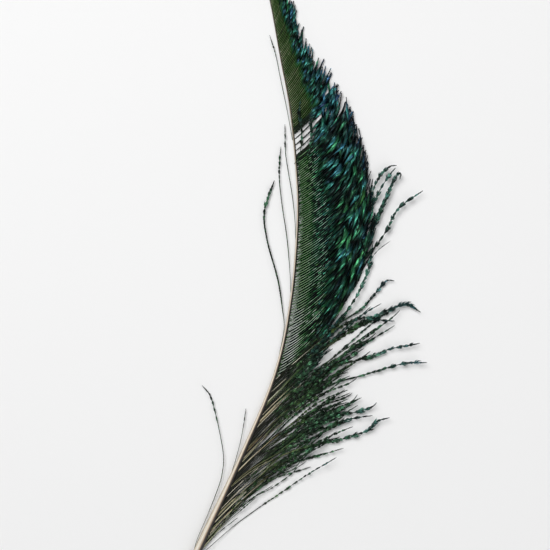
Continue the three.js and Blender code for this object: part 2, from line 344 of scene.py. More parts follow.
class Strands:
    """Gathers the rami and barbules of many barbs, and makes one mesh of them."""

    def __init__(self, paths):
        self.paths = paths
        self.along, self.right, self.above = frames_of(paths)
        self.length = np.linalg.norm(np.diff(paths, axis=1), axis=2).sum(1)
        self.points, self.faces, self.kinds, self.places = [], [], [], []
        self.values = {"tone": [], "shade": [], "across": []}
        self.count = 0

    def add(self, points, faces, kind, place, **values):
        self.points.append(points.reshape(-1, 3))
        self.places.append(place.reshape(-1, 2))
        for name, value in values.items():
            self.values[name].append(np.broadcast_to(value, points.shape[:-1]).ravel())
        for face in faces:
            self.faces.append(face + self.count)
            self.kinds.append(np.full(len(self.faces[-1]), kind))
        self.count += len(self.points[-1])

    def add_rami(self, radius, tone, shade, lift=0.0, teal=0.0):
        """A tapered rod along each barb, with an edge on top. teal is 0 where it is green and
        1 where it is teal."""
        barbs = len(self.paths)
        radius, tone, shade, teal = (
            np.broadcast_to(v, (barbs, POINTS))[:, :, None] for v in (radius, tone, shade, teal)
        )
        turn = np.pi / 2 + np.arange(RAMUS_SIDES) * 2 * np.pi / RAMUS_SIDES
        ring = (
            self.right[:, :, None] * np.cos(turn)[:, None]
            + self.above[:, :, None] * np.sin(turn)[:, None]
        )
        points = self.paths[:, :, None] + ring * radius[..., None] + lift * UP
        number, faces = tubes(barbs, POINTS, RAMUS_SIDES)
        share = np.broadcast_to(SHARE[:, :, None], number.shape)
        row = np.arange(barbs)[:, None, None] + 0.5 + 0.06 * np.cos(turn)
        place = np.stack([share, np.broadcast_to(row, number.shape) / barbs], -1)
        self.add(points, faces, 0, place, tone=tone, shade=shade, across=teal)

    def spots(self, rng, spacing, start=0.0):
        """Places for barbules: the barb of each and its share of the barb's length."""
        counts = np.maximum((self.length * (1 - start) / spacing).astype(int), 1)
        barb = np.repeat(np.arange(len(counts)), counts)
        first = np.repeat(np.cumsum(counts) - counts, counts)
        share = (np.arange(len(barb)) - first + rng.uniform(0.1, 0.9, len(barb))) / counts[barb]
        return barb, start + (1 - start) * share

    def at(self, field, barb, share):
        """A field of values along the barbs, read at shares of their length."""
        field = np.broadcast_to(field, self.paths.shape[:2] + field.shape[2:])
        return read(field, barb, share * (POINTS - 1))

    def add_barbules(
        self, barb, share, side, reach, forward, roll, tone, shade, width,
        droop=0.0, tilt=20.0, hook=0.25, sink=0.15, curl=0.0, tip_shade=0.5, drop=0.0,
    ):
        """Barbules on one side (1 right, -1 left): strips with a pointed tip.
        reach is a barbule's length, forward its angle to the ramus, roll how far the vane is
        turned about the ramus, droop how far this side hangs, tilt how far a strip is turned
        about itself, hook, sink and curl how far its tip bends forward, down and back in, tip_shade
        how much darker its tip is painted, as shade where barbules meet, and drop how far below the
        ramus it starts."""
        count = len(barb)

        def grow(value):
            return np.broadcast_to(np.asarray(value, float), (count,))[:, None]

        root = self.at(self.paths, barb, share) - grow(drop) * UP
        along, right, above = (
            self.at(f, barb, share) for f in (self.along, self.right, self.above)
        )
        angle = np.radians(grow(roll) - side * grow(droop))
        out = side * (np.cos(angle) * right + np.sin(angle) * above)
        over = np.cos(angle) * above - np.sin(angle) * right
        lean = np.radians(grow(forward))
        ahead = np.cos(lean) * along + np.sin(lean) * out
        wide = np.sin(lean) * along - np.cos(lean) * out
        turn = np.radians(grow(tilt))
        wide = (np.cos(turn) * wide + np.sin(turn) * over) * grow(width) / 2
        reach = grow(reach)
        middle = root + reach * (0.55 * ahead + 0.3 * (grow(hook) * along - grow(sink) * over))
        tip = root + reach * (ahead + grow(hook) * along - grow(sink) * over - grow(curl) * out)
        points = np.stack([root - wide, root + wide, middle + wide, middle - wide, tip], 1)
        np.maximum(points[..., 2], LOWEST, out=points[..., 2])
        number = np.arange(count * 5).reshape(count, 5)
        quad, end = number[:, [0, 1, 2, 3]], number[:, [3, 2, 4]]
        across = np.array((0, 0, 0.55, 0.55, 1.0))
        span = 0.5 * np.array((-1, 1, 1, -1, 0)) * grow(width) / self.length[barb][:, None]
        forth = 0.5 * reach * np.cos(lean) / self.length[barb][:, None] * across
        row = grow(barb) + 0.5 + side * (0.08 + 0.4 * across)
        place = np.stack([np.clip(grow(share) + span + forth, 0, 1), row / len(self.paths)], -1)
        self.add(
            points, [quad, end], 1, place,
            tone=grow(tone), shade=grow(shade) * (1 - grow(tip_shade) * across), across=across,
        )

    def build(self, name, materials, slot, nodes):
        points, places, kinds = map(np.concatenate, (self.points, self.places, self.kinds))
        values = {key: np.concatenate(value) for key, value in self.values.items()}
        build(name, points, self.faces, values, places, kinds, materials, nodes)


def build(name, points, faces, values, places, kinds, materials, nodes):
    """Makes one piece of the feather, which rides on the frame and stands for CAD nodes."""
    mesh = bpy.data.meshes.new(name)
    loops = np.concatenate([f.ravel() for f in faces])
    totals = np.concatenate([np.full(len(f), f.shape[1]) for f in faces])
    mesh.vertices.add(len(points))
    mesh.vertices.foreach_set("co", ((points - ORIGIN) * MM).ravel())
    mesh.loops.add(len(loops))
    mesh.loops.foreach_set("vertex_index", loops.astype(np.int32))
    mesh.polygons.add(len(totals))
    mesh.polygons.foreach_set("loop_start", (np.cumsum(totals) - totals).astype(np.int32))
    mesh.polygons.foreach_set("material_index", kinds.astype(np.int32))
    mesh.polygons.foreach_set("use_smooth", np.ones(len(totals), bool))
    for key, value in values.items():
        mesh.attributes.new(key, "FLOAT", "POINT").data.foreach_set("value", value.astype(np.float32))
    layer = mesh.uv_layers.new(name="OFBake")
    layer.data.foreach_set("uv", places[loops].ravel())
    mesh.update(calc_edges=True)
    for material in materials:
        mesh.materials.append(material)
    piece = bpy.data.objects.new(name, mesh)
    bpy.context.scene.collection.objects.link(piece)
    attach(piece, "root")
    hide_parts(*nodes)


def numbered(name, count):
    return [f"{name}_{i + 1:02d}" for i in range(count)]


# Materials --------------------

# Near-black of a barbule at no shade: the melanin's own colour, and painted shade where barbules lie in
# shadow.
MELANIN_AND_SHADE = "030606"
MIX_FIRST, MIX_SECOND, MIX_RESULT = 6, 7, 2  # colour sockets of a mix node

# Real cells and fibres are too fine to show, so these are drawn coarse: the cells of a barbule
# and of a ramus to the millimetre, and the fibres of the horn, which are 5 mm long and 0.4 mm
# wide at the quill, along the shaft and over half its girth.
BARBULE_CELLS = 0.9
RAMUS_CELLS = 0.7
HORN_FIBRES = (60.0, 14.0, 1.0)

# Stops of colour ramps: pairs of a place and a colour.
VANE_STOPS = (
    (0.0, "6c6434"), (0.16, "5a7c34"), (0.32, "468a46"), (0.5, "409668"),
    (0.64, "449788"), (0.78, "3c7a96"), (0.9, "365488"), (1.0, "3c406c"),
)
LOOSE_STOPS = (
    (0.0, "6a6246"), (0.16, "5c6c3c"), (0.32, "487446"), (0.5, "46795f"),
    (0.64, "4e8080"), (0.78, "54789a"), (0.9, "4c6090"), (1.0, "4a4e7c"),
)
# Ramps of a ramus's painted brightness, green, teal and tan: the darkest stops are painted shade and
# the palest partly painted highlight.
RAMUS_STOPS = (
    ((0.0, "030504"), (0.25, "163a18"), (0.5, "468c3e"), (0.75, "9cc092"), (1.0, "ecf4ec")),
    ((0.0, "030506"), (0.25, "14362e"), (0.5, "3c8266"), (0.75, "88b6a0"), (1.0, "e0f0e8")),
    ((0.0, "090807"), (0.3, "2a2418"), (0.55, "63543a"), (0.8, "a89068"), (1.0, "e0caa2")),
)
HORN_STOPS = (
    (0.0, "f0eee6"), (0.1, "f0ede4"), (0.16, "ebe5d8"), (0.35, "e8dfd0"), (0.52, "e2dace"),
    (0.68, "d8d1c3"), (0.76, "857a5c"), (1.0, "4a4028"),
)
# Across the shaft from its left side to its right: a darker edge, a painted highlight (the white stop),
# cream and pink-tan, then a brown-black flank, partly the dark line at the barb roots and partly
# painted shade.
FLANK_STOPS = (
    (0.0, "948a7c"), (0.12, "e6e0d6"), (0.3, "ffffff"), (0.44, "ece4da"), (0.56, "c4b2a2"),
    (0.66, "50443a"), (0.76, "201914"), (1.0, "18120f"),
)


def add_node(tree, kind, links=(), stops=(), **settings):
    """Adds a node. settings are its properties, or its inputs by name with _ for a space. links
    are pairs of an input's name or number and the output or value that it takes. stops are a
    colour ramp's: pairs of a place and a hex colour."""
    node = tree.nodes.new(kind)
    for key, value in settings.items():
        name = key.replace("_", " ")
        if name in node.inputs:
            node.inputs[name].default_value = value
        else:
            setattr(node, key, value)
    for name, value in links:
        if isinstance(value, bpy.types.NodeSocket):
            tree.links.new(value, node.inputs[name])
        else:
            node.inputs[name].default_value = value
    for number, (place, code) in enumerate(stops):
        elements = node.color_ramp.elements
        element = elements[number] if number < len(elements) else elements.new(place)
        element.position = place
        element.color = colour(code)
    return node


def new_material(name, **settings):
    """An empty material, its node tree and its Principled shader, with these settings."""
    material = bpy.data.materials.new(name)
    material.use_nodes = True
    tree = material.node_tree
    tree.nodes.clear()
    shader = add_node(tree, "ShaderNodeBsdfPrincipled", **settings)
    out = add_node(tree, "ShaderNodeOutputMaterial", [("Surface", shader.outputs["BSDF"])])
    out.is_active_output = True
    return material, tree, shader


def barbule_material(name, stops):
    """Barbule: melanin rods in a clear lattice of keratin. The lattice gives a saturated green,
    teal or blue and the melanin a near-black; the shade attribute mixes them as painted light,
    a painted highlight where a barbule lies flat and painted shade elsewhere."""
    material, tree, shader = new_material(name, Metallic=0.5, Specular_IOR_Level=0.2)
    tone, shade = (
        add_node(tree, "ShaderNodeAttribute", attribute_name=key).outputs["Fac"]
        for key in ("tone", "shade")
    )
    place = add_node(tree, "ShaderNodeTexCoord").outputs["Object"]
    grain = add_node(
        tree, "ShaderNodeTexNoise", [("Vector", place)],
        Scale=BARBULE_CELLS / MM, Detail=2.0, Roughness=0.6,
    ).outputs["Fac"]
    swing = add_node(
        tree, "ShaderNodeMapRange", [("Value", grain)], To_Min=-0.07, To_Max=0.07
    ).outputs["Result"]
    hue = add_node(
        tree, "ShaderNodeMath", [(0, tone), (1, swing)], operation="ADD"
    ).outputs["Value"]
    lustre = add_node(tree, "ShaderNodeValToRGB", [("Fac", hue)], stops).outputs["Color"]
    fleck = add_node(
        tree, "ShaderNodeMapRange", [("Value", grain)],
        From_Min=0.35, From_Max=0.65, To_Min=0.8, To_Max=1.2,
    ).outputs["Result"]
    amount = add_node(
        tree, "ShaderNodeMath", [(0, shade), (1, fleck)], operation="MULTIPLY", use_clamp=True
    ).outputs["Value"]
    painted_light = add_node(
        tree, "ShaderNodeMix",
        [("Factor", amount), (MIX_FIRST, colour(MELANIN_AND_SHADE)), (MIX_SECOND, lustre)],
        data_type="RGBA",
    ).outputs[MIX_RESULT]
    tree.links.new(painted_light, shader.inputs["Base Color"])
    rough = add_node(
        tree, "ShaderNodeMapRange", [("Value", grain)], To_Min=0.24, To_Max=0.46
    ).outputs["Result"]
    tree.links.new(rough, shader.inputs["Roughness"])
    return material


def ramus_material():
    """Ramus: the keratin rod of a barb, dyed by melanin. Its shade attribute sets how bright it is
    painted: in the web it is pale green near the shaft, partly its own colour and partly a
    painted highlight, and teal beyond, on a loose barb it is tan, and further out all go nearly
    black, as painted shade under the barbules around them."""
    material, tree, shader = new_material("ramus_keratin", Roughness=0.42, Specular_IOR_Level=0.25)
    warm, shade, far = (
        add_node(tree, "ShaderNodeAttribute", attribute_name=key).outputs["Fac"]
        for key in ("tone", "shade", "across")
    )
    place = add_node(tree, "ShaderNodeTexCoord").outputs["Object"]
    grain = add_node(
        tree, "ShaderNodeTexNoise", [("Vector", place)], Scale=RAMUS_CELLS / MM, Detail=2.0
    ).outputs["Fac"]
    fleck = add_node(
        tree, "ShaderNodeMapRange", [("Value", grain)], To_Min=-0.16, To_Max=0.16
    ).outputs["Result"]
    amount = add_node(
        tree, "ShaderNodeMath", [(0, shade), (1, fleck)], operation="ADD", use_clamp=True
    ).outputs["Value"]
    green, teal, tan = (
        add_node(tree, "ShaderNodeValToRGB", [("Fac", amount)], stops).outputs["Color"]
        for stops in RAMUS_STOPS
    )
    dyed = green
    for factor, other in ((far, teal), (warm, tan)):
        dyed = add_node(
            tree, "ShaderNodeMix", [("Factor", factor), (MIX_FIRST, dyed), (MIX_SECOND, other)],
            data_type="RGBA",
        ).outputs[MIX_RESULT]
    tree.links.new(dyed, shader.inputs["Base Color"])
    return material


def horn_material():
    """Horn: the keratin of the shaft, cream and faintly clear at the quill, tan further up and
    olive-brown near the tip, with fine lengthwise lines, a painted highlight along its left side,
    and a brown-black flank on the side where the barbs grow, partly the dark line at their roots
    and partly painted shade."""
    material, tree, shader = new_material("shaft_horn", Roughness=0.38)
    along, flank_shading_and_stain, across = (
        add_node(tree, "ShaderNodeAttribute", attribute_name=key).outputs["Fac"]
        for key in ("tone", "shade", "across")
    )
    spread = add_node(tree, "ShaderNodeCombineXYZ", [("X", along), ("Y", across)]).outputs["Vector"]
    drawn_out = add_node(
        tree, "ShaderNodeVectorMath", [(0, spread), (1, HORN_FIBRES)], operation="MULTIPLY"
    ).outputs["Vector"]
    lines = add_node(
        tree, "ShaderNodeTexNoise", [("Vector", drawn_out)], Scale=1.0, Detail=3.0, Roughness=0.6
    ).outputs["Fac"]
    streak = add_node(
        tree, "ShaderNodeMapRange", [("Value", lines)],
        From_Min=0.3, From_Max=0.7, To_Min=0.82, To_Max=1.1,
    ).outputs["Result"]
    horn = add_node(tree, "ShaderNodeValToRGB", [("Fac", along)], HORN_STOPS).outputs["Color"]
    flank = add_node(tree, "ShaderNodeValToRGB", [("Fac", across)], FLANK_STOPS).outputs["Color"]
    # Multiplies in the grain streaks, then the flank: its painted highlight and painted shade, and the
    # dark line at the barb roots.
    for factor, other in ((1.0, streak), (flank_shading_and_stain, flank)):
        horn = add_node(
            tree, "ShaderNodeMix", [("Factor", factor), (MIX_FIRST, horn), (MIX_SECOND, other)],
            data_type="RGBA", blend_type="MULTIPLY",
        ).outputs[MIX_RESULT]
    tree.links.new(horn, shader.inputs["Base Color"])
    bump = add_node(tree, "ShaderNodeBump", [("Height", lines)], Strength=0.35, Distance=0.0001)
    tree.links.new(bump.outputs["Normal"], shader.inputs["Normal"])
    return material


def materials(name="barbule_lattice", stops=VANE_STOPS):
    """The ramus and barbule materials, each made once."""
    found = bpy.data.materials
    rod = found.get("ramus_keratin") or ramus_material()
    return rod, found.get(name) or barbule_material(name, stops)


def loose_materials():
    """The same for barbs that hang free, whose barbules don't lie flat and look duller."""
    return materials("barbule_lattice_loose", LOOSE_STOPS)


# Pieces --------------------


def make_shaft(settings):
    """The bare quill and the rachis in one: a tapered tube with a groove underneath, a hole at
    its lower end, and a row of small swellings where the barbs grow."""
    bore = np.array(QUILL_BORE)
    outside = np.linspace(0.12, SHAFT_LENGTH, int(SHAFT_LENGTH / SHAFT_RING_STEP))
    at = np.r_[bore[:, 0], outside]
    rings = len(at)
    x, y, heading = on_shaft(at)
    rng = np.random.default_rng(3)
    angle = np.arange(SHAFT_SIDES) * 2 * np.pi / SHAFT_SIDES
    radius = np.r_[bore[:, 1], shaft_radius(outside)][:, None] * np.ones(SHAFT_SIDES)
    rachis = smooth(at, *RACHIS_FROM)[:, None]
    under = np.exp(-(((angle - 1.5 * np.pi) / 0.35) ** 2))[None]
    outer = np.exp(-((np.angle(np.exp(1j * (angle - 0.1))) / 0.45) ** 2))[None]
    radius *= 1 - rachis * 0.22 * under * settings.groove
    radius += 0.04 * np.cos(2 * np.pi * at / SWELLING_PITCH)[:, None] * rachis * outer
    radius *= 1 + 0.012 * rng.normal(size=rings)[:, None] * rachis
    right = np.stack([np.sin(heading), -np.cos(heading), 0 * at], 1)[:, None]
    centre = np.stack([x, y, shaft_radius(np.maximum(at, 3))], 1)[:, None]
    points = centre + radius[..., None] * (
        np.cos(angle)[:, None] * right + np.sin(angle)[:, None] * UP
    )
    number, faces = tubes(1, rings, SHAFT_SIDES)
    # Place across the shaft, 0 on the left and 1 on the right, for the flank's painted highlight and
    # painted shade.
    seen = (0.5 + 0.5 * np.cos(angle)) * (1 + 0.3 * smooth(at, 66, 96))[:, None]
    around = np.broadcast_to(np.arange(SHAFT_SIDES) / SHAFT_SIDES, number.shape)
    kinds = np.zeros(sum(map(len, faces)))
    way = np.repeat(at / SHAFT_LENGTH, SHAFT_SIDES)
    # How much of the flank, with its painted highlight and shade, shows: little at the quill, full from
    # the rachis on.
    flank_shading_and_stain = 0.25 + 0.75 * smooth(at, 16, 46)
    build(
        "quill_and_rachis", points.reshape(-1, 3), faces,
        {"tone": way, "shade": np.repeat(flank_shading_and_stain, SHAFT_SIDES), "across": np.minimum(seen, 1).ravel()},
        np.stack([way, around.ravel()], 1), kinds, [horn_material()], ["shaft"],
    )


def twist(strand, rng, outside, pace):
    """How far each barb has rolled about itself at each of its points, in degrees, and how
    bright and how blue each half turn of it, a flake, is. The brightness is painted light: a
    random gain a flake times how flat it lies, bright face up and dark on edge. All roll the
    same way, with a pace in degrees to the millimetre."""
    barbs = len(strand.paths)
    step = strand.length[:, None] / (POINTS - 1)
    speed = rng.uniform(*pace, (barbs, 1)) * rng.uniform(0.6, 1.4, (barbs, POINTS))
    roll = np.cumsum(speed * step * outside, 1)
    roll = roll + rng.uniform(-60, 60, (barbs, 1)) * outside
    flake = np.floor(np.abs(roll) / 180 + 0.5).astype(int) % FLAKES
    gain = 0.12 + 1.6 * rng.uniform(size=(barbs, FLAKES)) ** 1.5
    tint = rng.normal(0, 0.08, (barbs, FLAKES))
    # Painted highlight where a flake lies flat, painted shade where it stands on edge.
    facing = np.abs(np.cos(np.radians(roll)))
    painted_light = np.take_along_axis(gain, flake, 1) * facing
    return roll, painted_light, np.take_along_axis(tint, flake, 1)


def add_vane(
    strand, rng, settings, outside, roll, tone, shade, closed, flaked, filled=1.0
):
    """Barbules on both sides of every barb, and a near-black layer below, where the barbules of one
    barb hook under the next; its darkness is painted shade seen through the gaps. outside is 0
    in the closed vane and 1 in the flakes, closed and flaked are the barbules' lengths in each,
    and filled is the share of the closed vane's that is made."""
    flaked = np.broadcast_to(flaked, (len(strand.paths),))
    for side in (1, -1):
        barb, spot = strand.spots(rng, settings.barbule_spacing / MM)
        made = (strand.at(outside, barb, spot) > 0.1) | (rng.uniform(size=len(barb)) < filled)
        barb, spot = barb[made], spot[made]
        out, turned = (strand.at(field, barb, spot) for field in (outside, roll))
        count = len(barb)
        taper = (1 - 0.8 * smooth(spot, 0.8, 1)) * smooth(spot, -0.01, 0.01)
        full = (0.4 + 0.6 * np.abs(np.cos(np.radians(turned)))) * (1 - 0.2 * side)
        reach = taper * (closed * (1 - out) + flaked[barb] * out * full)
        strand.add_barbules(
            barb, spot, side, reach=reach * rng.uniform(0.86, 1.1, count),
            forward=48 - (26 + 6 * side) * out - 4 * smooth(spot, 0.6, 1) + rng.normal(0, 3, count),
            roll=turned + rng.normal(0, 4, count),
            tone=strand.at(tone, barb, spot) + rng.normal(0, 0.012, count),
            shade=strand.at(shade, barb, spot) * (1 - 0.2 * side * out) * rng.uniform(0.86, 1.1, count),
            width=0.26 + 0.12 * out, droop=20 - 14 * out, tip_shade=1 - 0.45 * out,
        )
        # The layer below: near-black barbules, painted shade in the gaps between barbs.
        barb, spot = strand.spots(rng, UNDER_SPACING)
        count = len(barb)
        taper = (1 - 0.8 * smooth(spot, 0.66, 1)) * smooth(spot, 0, 0.05)
        out = strand.at(outside, barb, spot)
        reach = rng.uniform(1.1, 1.6, count) * taper * (closed + (1 - closed) * out)
        strand.add_barbules(
            barb, spot, side, reach, forward=50 - 22 * smooth(spot, 0.5, 0.9), roll=0.0, tone=0.7,
            shade=rng.uniform(0.0, 0.05, count), width=0.6, droop=14.0, drop=0.2 + 0.4 * out,
        )


def add_dashes(strand, rng, zone, tone):
    """Short strips along the barbs, painted bright as highlights where some barbules catch the
    light. zone is 1 where they lie and 0 elsewhere."""
    barb, spot = strand.spots(rng, DASH_SPACING)
    amount = strand.at(zone, barb, spot) * (rng.uniform(size=len(barb)) < 0.25)
    barb, spot, amount = (values[amount > 0.1] for values in (barb, spot, amount))
    count = len(barb)
    strand.add_barbules(
        barb, spot, 1, reach=rng.uniform(1.4, 2.8, count), forward=4.0, roll=rng.normal(0, 8, count),
        tone=strand.at(tone, barb, spot) + rng.normal(0, 0.05, count),
        shade=amount * rng.uniform(0.15, 0.75, count), width=rng.uniform(0.28, 0.42, count),
        tilt=0.0, hook=0.0, sink=0.1, drop=-0.26, tip_shade=0.3,
    )


def make_web(settings):
    """The closed wide side: flat ridges near the shaft, broken into dashes further out, and
    twisted barbs like flakes outside. It is made in two halves. below is 1 for the barbs that
    fill gaps under the rest, which are near-black as painted shade, clear is the distance from
    the shaft, up the place along the web, outside is 1 in the flakes and dull 1 in the dashes."""
    rng = np.random.default_rng(11)
    at = roots_between(*WEB_ROOTS, settings)
    below = np.repeat((0, 1), (len(at), sum(WEB_FILLERS)))
    crowd, rest = WEB_FILLERS
    at = np.r_[at, np.linspace(WEB_ROOTS[0], CROWDED, crowd), np.linspace(*WEB_ROOTS, rest)]
    order = np.argsort(at)
    at, below = at[order], below[order][:, None]
    at += rng.normal(0, 0.03, len(at))
    barbs = len(at)
    sway = smooth(SHARE, 0.1, 0.5) * (4 * drift(rng, at, 6, 5) - 4)
    sway = sway + smooth(SHARE, 0.22, 0.5) * 11 * drift(rng, at, 1.1, 6)
    paths = grow_barbs(at, rng.uniform(1.04, 1.18, barbs), sway)
    paths = trimmed(paths, WEB_OUTLINE, rng.uniform(-1.0, 1.4, barbs))
    clear = clearance(paths)
    up = ((at - WEB_ROOTS[0]) / (WEB_ROOTS[1] - WEB_ROOTS[0]))[:, None]
    open_from = 14.0 - 5 * smooth(up, 0.55, 0.95)
    outside = smooth(clear + rng.normal(0, 0.8, (barbs, 1)), open_from, open_from + 3)
    own = rng.uniform(-1, 1, (barbs, 1))
    proud = (1 - below) * (rng.uniform(size=(barbs, 1)) < 0.4)
    level = 0.75 + outside * (0.8 + 0.35 * own + 0.45 * drift(rng, at, 4, 5) + 1.1 * proud)
    level = level - below * (0.35 - 0.2 * outside)
    root = 1.15 * shaft_radius(at)[:, None] * (1 - 0.6 * below)
    paths[..., 2] = np.maximum(root + (level - root) * smooth(SHARE, 0, 0.12), 0.35)
    edge = smooth(SHARE, 0.76, 1.0)
    tone = 0.25 + 0.29 * smooth(clear, 6, 15) + 0.1 * outside * smooth(up, 0.5, 0.9) + 0.22 * edge
    tone = tone + 0.05 * drift(rng, at, 4, 5)
    dull_from = 6.0 - 3 * smooth(up, 0.55, 0.95)
    dull = smooth(clear + rng.normal(0, 0.8, (barbs, 1)), dull_from, dull_from + 4)
    low, high = 1 - smooth(up, 0.12, 0.5), smooth(up, 0.45, 0.8)
    # Near-black barbules between the ridges: painted shade in the valleys between them.
    closed = (0.03 + 0.05 * high - 0.025 * low) * (1 - 0.9 * dull) * (1 - below)
    # Brightness of the ridges: pale near the shaft, partly the rami's own colour and partly a painted
    # highlight.
    ridge = 0.67 + 0.13 * low + 0.18 * low * (1 - smooth(clear, 4, 8)) - 0.05 * high
    ridge = ridge + rng.normal(0, 0.04, (barbs, 1))
    # Random bright and dark lengths of ramus in the dashes: painted glints.
    later = smooth(up, 0.3, 0.65)
    bright = rng.uniform(-0.5, 1.7, (barbs, POINTS // 2 + 1)) + 0.14 * later
    bright = np.clip(bright, 0, 1.08)
    broken = 1 - dull * (1 - np.repeat(bright, 2, axis=1)[:, :POINTS])
    # The rami of the barbs below are near-black, as painted shade.
    rod = ridge * broken * (1 - 0.9 * below) * smooth(clear, 0.3, 1.8) * (1 - outside)
    rod *= 1 + 0.12 * dull * later
    teal = smooth(clear, 4.5, 10) * (0.3 + 0.6 * smooth(up, 0.2, 0.6))
    thick = 0.155 - 0.05 * smooth(clear, open_from - 2, open_from + 2)
    for half, part in enumerate(np.array_split(np.arange(barbs), 2)):
        web = Strands(paths[part])
        out, front = outside[part], proud[part]
        roll, painted_light, tint = twist(web, rng, out, (12, 24))
        # Flakes are painted bright or dark by how they lie, and the raised barbs are painted brighter
        # than the rest.
        shade = closed[part] * (1 - out) + out * painted_light * (1 - 0.45 * edge) * (0.6 + 0.5 * front)
        hue = tone[part] + out * tint
        web.add_rami(thick[part], 0.0, rod[part], 0.12, teal[part])
        wide = 1.15 + 0.65 * front[:, 0]
        add_vane(web, rng, settings, out, roll, hue, shade, closed=0.6, flaked=wide, filled=0.4)
        dashed = (dull * (1 - outside) * (1 - below))[part]
        add_dashes(web, rng, dashed, hue + 0.06 + 0.14 * high[part])
        web.build(f"web_{half + 1}", materials(), "web", ["web_vane"])


def make_tip(settings):
    """The narrow upper vane: bronze-olive near the shaft, with a teal fringe."""
    rng = np.random.default_rng(12)
    at = roots_between(*TIP_ROOTS, settings)
    barbs = len(at)
    sway = smooth(SHARE, 0.3, 1) * (6 * drift(rng, at, 5, 4) + 6 * drift(rng, at, 1.1, 3))
    paths = grow_barbs(at, rng.uniform(0.86, 1.08, barbs), sway)
    outside = smooth(SHARE, 0.36, 0.54)
    root = 1.15 * shaft_radius(at)[:, None]
    own = rng.uniform(-1, 1, (barbs, 1))
    level = 0.6 + outside * (0.7 + 0.4 * own + 0.2 * drift(rng, at, 3, 5))
    paths[..., 2] = np.maximum(root + (level - root) * smooth(SHARE, 0, 0.2), 0.3)
    tip = Strands(paths)
    roll, painted_light, tint = twist(tip, rng, outside, (24, 40))
    tone = 0.06 + 0.6 * smooth(SHARE, 0.32, 0.54) + 0.12 * smooth(SHARE, 0.75, 1)
    tone = tone + 0.05 * drift(rng, at, 3, 6) + outside * tint
    shade = 0.24 * (1 - outside) + outside * painted_light
    rod = (0.66 - 0.14 * smooth(SHARE, 0.02, 0.2)) * (1 - 0.75 * outside)
    rod = rod + rng.normal(0, 0.06, (barbs, 1))
    tip.add_rami(0.16 - 0.09 * SHARE, 0.4 * (1 - outside), rod, lift=0.08)
    add_vane(tip, rng, settings, outside, roll, tone, shade, closed=0.85, flaked=1.3)
    tip.build("tip", materials(), "tip", ["tip_vane"])


def add_beads(strand, rng, settings, body, tone, glint_peak, full=1.0, least=0.06):
    """Barbules of loose barbs: short and close along the body, gathered into beads beyond it.
    body holds, for each barb, the share at which its beads start, and full how long they are.
    glint_peak is how bright the painted glints of the brightest beads are, and least the darkest."""
    barbs = len(strand.paths)
    full = np.broadcast_to(full, (barbs,))
    period = settings.bead_spacing / MM * rng.uniform(0.85, 1.3, barbs)
    phase = rng.uniform(0, 1, barbs)
    glint = 0.04 + 0.6 * rng.uniform(size=(barbs, BEADS)) ** 1.4
    glint = np.where(rng.uniform(size=glint.shape) < 0.2, glint_peak, glint)
    filled = rng.uniform(0.5, 1.25, (barbs, BEADS))
    leaned = rng.uniform(-40, 40, (barbs, BEADS))
    speck = 0.1 + 1.9 * rng.uniform(size=(barbs, SPECKS)) ** 1.8
    for side in (1, -1):
        barb, spot = strand.spots(rng, 0.85 * settings.barbule_spacing / MM, 0.03)
        count = len(barb)
        way = spot * strand.length[barb]
        left = strand.length[barb] - way
        beaded = smooth(spot, body[barb] - 0.08, body[barb] + 0.08)
        turn = way / period[barb] + phase[barb] + 0.45 * np.sin(way / 3.1 + 7 * phase[barb])
        kind, beat = np.floor(turn).astype(int) % BEADS, turn % 1
        bead = np.sin(np.pi * np.clip(beat / 0.8, 0, 1)) ** 0.8 * filled[barb, kind]
        tail = smooth(left, 2.5, 5.5)
        reach = (1 - beaded) * (0.06 + 0.45 * smooth(spot, 0.1, 0.4))
        reach = reach + beaded * (0.14 + 1.35 * bead) * tail
        reach = (reach + (1 - tail) * 0.5 * smooth(left, -0.5, 3)) * full[barb]
        # Painted brightness: random glints a bead, times random specks along the barb.
        bright = (least + glint[barb, kind]) * speck[barb, (way / SPECK_LENGTH).astype(int)]
        strand.add_barbules(
            barb, spot, side, reach=reach * smooth(spot, 0.02, 0.14) * rng.uniform(0.8, 1.1, count),
            forward=30 + 8 * beaded - 20 * (1 - tail) + rng.normal(0, 4 + 5 * beaded, count),
            roll=leaned[barb, kind] * beaded + rng.normal(0, 16, count),
            tone=strand.at(tone, barb, spot) + rng.normal(0, 0.02, count),
            shade=bright * (0.4 + 0.6 * tail), width=0.26 + 0.16 * beaded, hook=0.3, tip_shade=0.3,
            curl=0.3 * beaded,
        )


